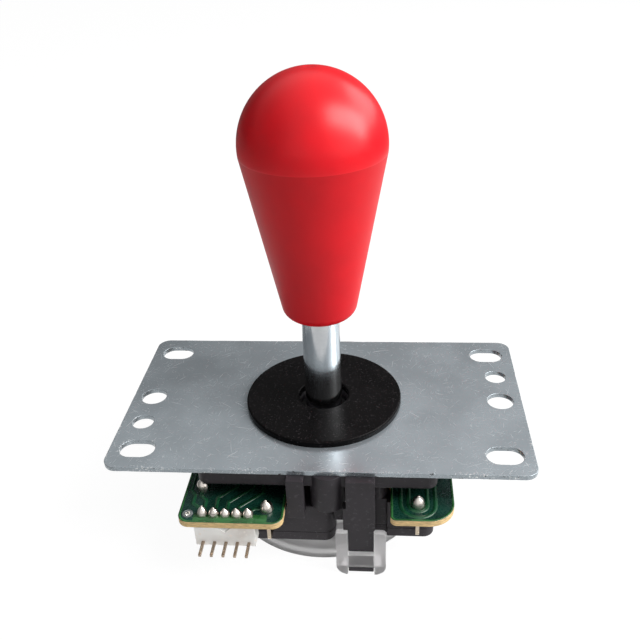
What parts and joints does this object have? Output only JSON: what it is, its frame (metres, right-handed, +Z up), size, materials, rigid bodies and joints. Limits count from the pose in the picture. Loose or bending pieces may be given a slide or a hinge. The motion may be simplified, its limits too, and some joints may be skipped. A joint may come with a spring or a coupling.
{
  "type": "arcade joystick lever",
  "caption": "Panel-mount arcade lever: a bat handle on a sprung shaft that tilts in a ball socket under a slotted steel plate and presses microswitches on a board, with a clear gate.",
  "frame": {"origin": "centre of the mounting plate's top face, on the lever's axis", "axes": "+Z up along the lever at rest, +X along the plate's long side, +Y to the back, away from the signal header"},
  "size_m": [0.095, 0.0673, 0.1069],
  "materials": {
    "plate_steel": "zinc plated sheet, satin",
    "screw_steel": "plated",
    "washer_plastic": "fine stipple",
    "housing_plastic": "moulded, matte",
    "board_green": "solder mask on laminate",
    "header_white": "moulded, semi-gloss",
    "pin_metal": "tinned",
    "solder_metal": "bright",
    "gate_clear": "clear",
    "spring_steel": "drawn wire",
    "bush_plastic": "greased, satin",
    "shaft_steel": "polished",
    "bat_red": "moulded, glossy dome and satin taper",
    "insert_brass": "turned",
    "actuator_plastic": "moulded, satin",
    "clip_steel": "spring steel",
    "switch_case": "moulded, satin",
    "switch_cover": "moulded, satin",
    "plunger_ivory": "moulded",
    "terminal_metal": "tinned"
  },
  "bodies": {
    "base": {"mounting_plate": "plate_steel", "plate_screws": "screw_steel", "dust_washer": "washer_plastic", "housing": "housing_plastic", "circuit_board": "board_green", "connector_housing": "header_white", "connector_pins": "pin_metal", "solder_joints": "solder_metal", "gate_frame": "gate_clear", "gate_disc": "gate_clear", "front_switch_case": "switch_case", "front_switch_cover": "switch_cover", "front_switch_terminals": "terminal_metal", "right_switch_case": "switch_case", "right_switch_cover": "switch_cover", "right_switch_terminals": "terminal_metal", "back_switch_case": "switch_case", "back_switch_cover": "switch_cover", "back_switch_terminals": "terminal_metal", "left_switch_case": "switch_case", "left_switch_cover": "switch_cover", "left_switch_terminals": "terminal_metal"},
    "spring": {"centering_spring": "spring_steel"},
    "pivot": {"pivot_bush": "bush_plastic"},
    "lever": {"shaft": "shaft_steel", "bat_handle": "bat_red", "handle_insert": "insert_brass", "actuator": "actuator_plastic", "retaining_clip": "clip_steel"},
    "front_plunger": {"front_switch_plunger": "plunger_ivory"},
    "right_plunger": {"right_switch_plunger": "plunger_ivory"},
    "back_plunger": {"back_switch_plunger": "plunger_ivory"},
    "left_plunger": {"left_switch_plunger": "plunger_ivory"}
  },
  "joints": [
    {"name": "tilt_front_back", "type": "hinge", "parent": "base", "child": "spring", "pos_m": [0, 0, -0.0045], "axis": [1, 0, 0], "range_deg": [-9, 9], "stiffness_Nm_per_rad": 0.8, "deforming": ["centering_spring"]},
    {"name": "tilt_left_right", "type": "hinge", "parent": "spring", "child": "pivot", "pos_m": [0, 0, -0.0045], "axis": [0, 1, 0], "range_deg": [-9, 9], "stiffness_Nm_per_rad": 0.8, "deforming": ["centering_spring"]},
    {"name": "lever_spin", "type": "hinge", "parent": "pivot", "child": "lever", "pos_m": [0, 0, -0.0045], "axis": [0, 0, 1], "continuous": true},
    {"name": "front_plunger_press", "type": "slide", "parent": "base", "child": "front_plunger", "axis": [0, -1, 0], "range_m": [-0.00112, 0.00112]},
    {"name": "right_plunger_press", "type": "slide", "parent": "base", "child": "right_plunger", "axis": [1, 0, 0], "range_m": [-0.00112, 0.00112]},
    {"name": "back_plunger_press", "type": "slide", "parent": "base", "child": "back_plunger", "axis": [0, 1, 0], "range_m": [-0.00112, 0.00112]},
    {"name": "left_plunger_press", "type": "slide", "parent": "base", "child": "left_plunger", "axis": [-1, 0, 0], "range_m": [-0.00112, 0.00112]}
  ],
  "couplings": [
    {"joint": "front_plunger_press", "follows": "tilt_front_back", "m_per_rad": -0.0070767},
    {"joint": "right_plunger_press", "follows": "tilt_left_right", "m_per_rad": -0.0070767},
    {"joint": "back_plunger_press", "follows": "tilt_front_back", "m_per_rad": 0.0070767},
    {"joint": "left_plunger_press", "follows": "tilt_left_right", "m_per_rad": 0.0070767}
  ]
}
